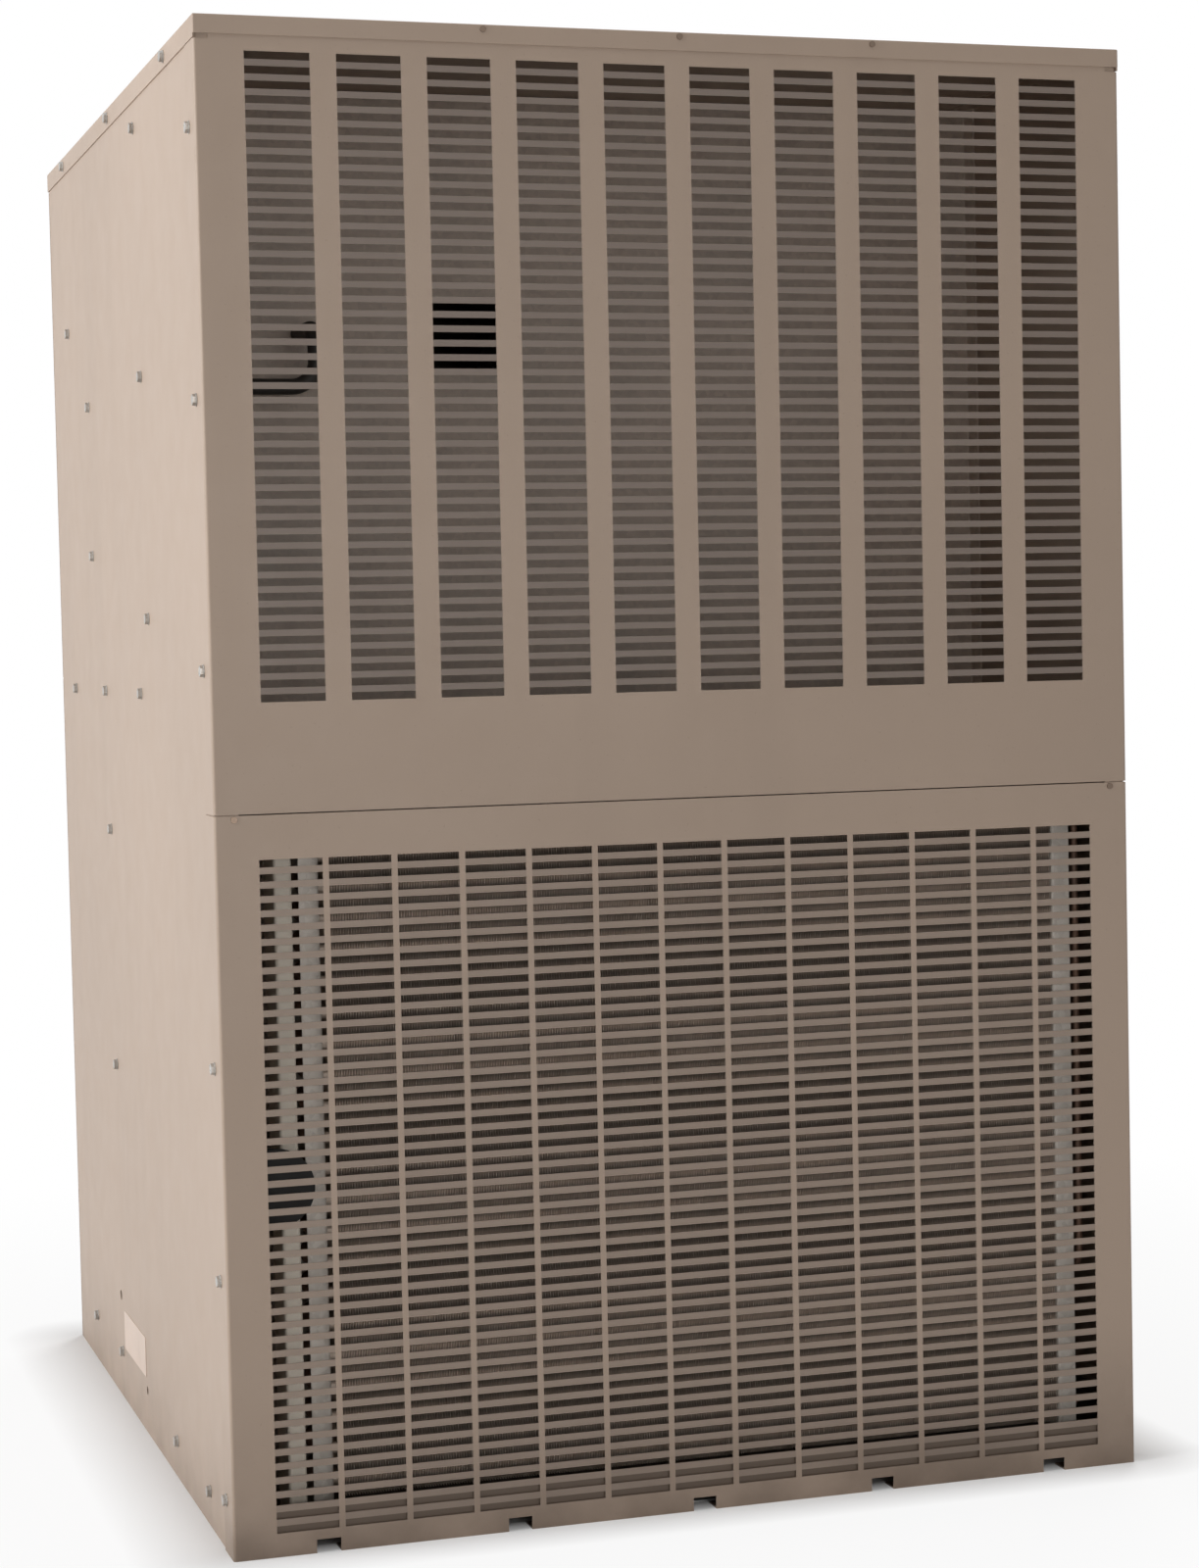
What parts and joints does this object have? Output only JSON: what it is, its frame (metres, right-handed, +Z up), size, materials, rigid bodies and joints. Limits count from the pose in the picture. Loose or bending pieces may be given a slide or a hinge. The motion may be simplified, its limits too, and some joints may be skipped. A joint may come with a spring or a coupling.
{
  "type": "through-the-wall package unit",
  "caption": "Upright self-contained heating and cooling cabinet with a slotted outdoor face, coils, fans, compressor, controls and a top supply collar.",
  "frame": {"origin": "middle of the base, on the surface that the unit stands on", "axes": "+Z up, +Y from the slotted outdoor face to the indoor face, +X to the right seen from outdoors"},
  "size_m": [0.8022, 0.887, 1.245],
  "materials": {
    "cabinet_paint": "satin",
    "galvanized": "spangled",
    "pale_post": "satin",
    "fin_aluminium": "satin",
    "copper": "dull",
    "black_paint": "satin",
    "motor_paint": "satin",
    "fan_aluminium": "satin",
    "zinc": "bright",
    "shaft_steel": "ground",
    "brass": "satin",
    "black_rubber": "matte",
    "black_plastic": "matte",
    "grey_plastic": "matte",
    "red_plastic": "gloss",
    "filter_board": "matte",
    "filter_cloth": "pleated",
    "heater_steel": "heat-tinted"
  },
  "bodies": {
    "cabinet": {"base_pan": "cabinet_paint", "base_rails": "galvanized", "left_side_panel": "cabinet_paint", "right_side_panel": "cabinet_paint", "top_cover": "cabinet_paint", "louver_panel": "cabinet_paint", "coil_grille_panel": "cabinet_paint", "upper_partition": "galvanized", "deck": "galvanized", "lower_partition": "galvanized", "condenser_fins": "fin_aluminium", "condenser_end_plates": "galvanized", "condenser_return_bends": "copper", "coil_side_post": "pale_post", "coil_clamp_pad": "black_rubber", "fan_shroud": "galvanized", "condenser_fan_motor": "motor_paint", "fan_motor_bracket": "zinc", "compressor": "black_paint", "compressor_grommets": "black_rubber", "hot_gas_line": "copper", "liquid_line": "copper", "filter_drier": "copper", "suction_line": "copper", "expansion_valve": "brass", "evaporator_fins": "fin_aluminium", "evaporator_end_plates": "galvanized", "evaporator_return_bends": "copper", "drain_pan": "galvanized", "drain_pan_stand": "galvanized", "return_air_frame": "cabinet_paint", "filter_rack": "galvanized", "blower_housing": "galvanized", "blower_motor": "motor_paint", "blower_motor_mount": "zinc", "heater_frame": "galvanized", "heater_elements": "heater_steel", "supply_collar": "galvanized", "control_box": "galvanized", "control_box_cover": "galvanized", "contactor": "black_plastic", "run_capacitor": "galvanized", "transformer": "black_plastic", "pressure_switch": "black_plastic", "breaker": "black_plastic", "wiring_conduit": "black_plastic", "cabinet_screws": "zinc"},
    "condenser_fan": {"condenser_fan": "fan_aluminium", "condenser_fan_shaft": "shaft_steel"},
    "blower": {"blower_wheel": "galvanized", "blower_shaft": "shaft_steel"},
    "filter": {"filter_frame": "filter_board", "filter_media": "filter_cloth"},
    "access_panel": {"access_panel": "cabinet_paint", "access_panel_handle": "cabinet_paint", "access_panel_screws": "zinc"},
    "vent_damper": {"vent_damper": "galvanized"},
    "breaker_lever": {"breaker_lever": "grey_plastic"},
    "contactor_plunger": {"contactor_plunger": "grey_plastic"},
    "reset_button": {"reset_button": "red_plastic"}
  },
  "joints": [
    {"name": "condenser_fan_spin", "type": "hinge", "parent": "cabinet", "child": "condenser_fan", "pos_m": [0, -0.2835, 0.31], "axis": [0, 1, 0], "continuous": true},
    {"name": "blower_spin", "type": "hinge", "parent": "cabinet", "child": "blower", "pos_m": [0.1275, 0.1175, 0.89], "axis": [1, 0, 0], "continuous": true},
    {"name": "filter_slide", "type": "slide", "parent": "cabinet", "child": "filter", "axis": [0, 0, 1], "range_m": [0, 0.54]},
    {"name": "access_panel_slide", "type": "slide", "parent": "cabinet", "child": "access_panel", "axis": [0, 1, 0], "range_m": [0, 0.3]},
    {"name": "vent_damper_slide", "type": "slide", "parent": "cabinet", "child": "vent_damper", "axis": [-1, 0, 0], "range_m": [0, 0.1]},
    {"name": "breaker_lever_turn", "type": "hinge", "parent": "cabinet", "child": "breaker_lever", "pos_m": [-0.3495, 0.3125, 1], "axis": [1, 0, 0], "range_deg": [-40, 0]},
    {"name": "contactor_plunger_slide", "type": "slide", "parent": "cabinet", "child": "contactor_plunger", "axis": [0, -1, 0], "range_m": [0, 0.003], "stiffness_N_per_m": 300},
    {"name": "reset_button_press", "type": "slide", "parent": "cabinet", "child": "reset_button", "axis": [0, -1, 0], "range_m": [0, 0.0025], "stiffness_N_per_m": 300}
  ]
}
